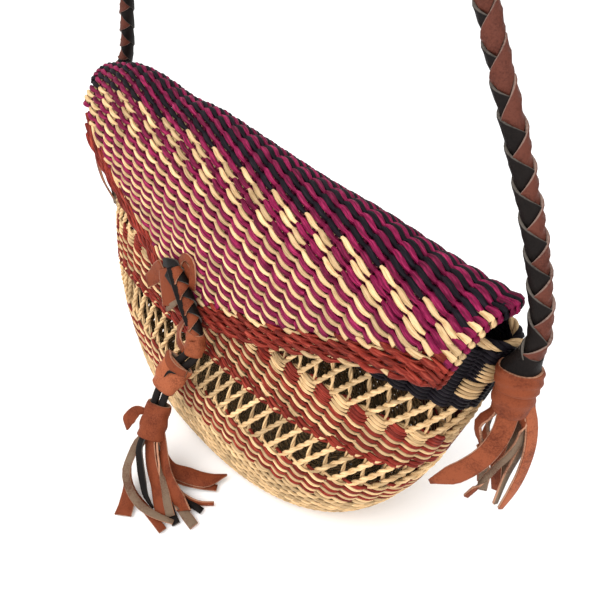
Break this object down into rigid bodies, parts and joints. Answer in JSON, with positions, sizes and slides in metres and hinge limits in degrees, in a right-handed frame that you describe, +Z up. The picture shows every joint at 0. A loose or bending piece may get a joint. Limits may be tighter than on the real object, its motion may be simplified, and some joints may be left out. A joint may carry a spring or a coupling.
{
  "type": "woven shoulder bag",
  "caption": "Oval twined-grass shoulder bag with openwork bands, a woven fold-over flap, a braided leather strap and fringed leather tassels.",
  "frame": {"origin": "under the crown of the strap, where the bag hangs", "axes": "+Z up, X along the bag's length, the flap's front faces -Y"},
  "size_m": [0.3238, 0.1722, 0.4051],
  "materials": {
    "basket_grass": "twined grass, natural straw with brick red and black bands",
    "rim_grass": "twisted grass rope, natural and black",
    "flap_grass": "twined grass, raspberry, natural straw and black",
    "strap_leather": "round braid of brown and black leather strips",
    "brown_leather": "matt red-brown goat leather with raw edges",
    "black_leather": "soft black leather thong"
  },
  "bodies": {
    "root": {"basket": "basket_grass", "rim_border": "rim_grass", "flap": "flap_grass", "strap": "strap_leather", "strap_wrap_right": "brown_leather", "strap_wrap_left": "brown_leather", "strap_tassel_right": "brown_leather", "strap_tassel_left": "brown_leather", "closure_tab": "brown_leather", "closure_braid": "black_leather", "closure_band": "brown_leather", "closure_cords": "black_leather", "closure_slider": "brown_leather", "closure_tassel_wrap": "brown_leather", "closure_tassel": "brown_leather"}
  },
  "joints": []
}
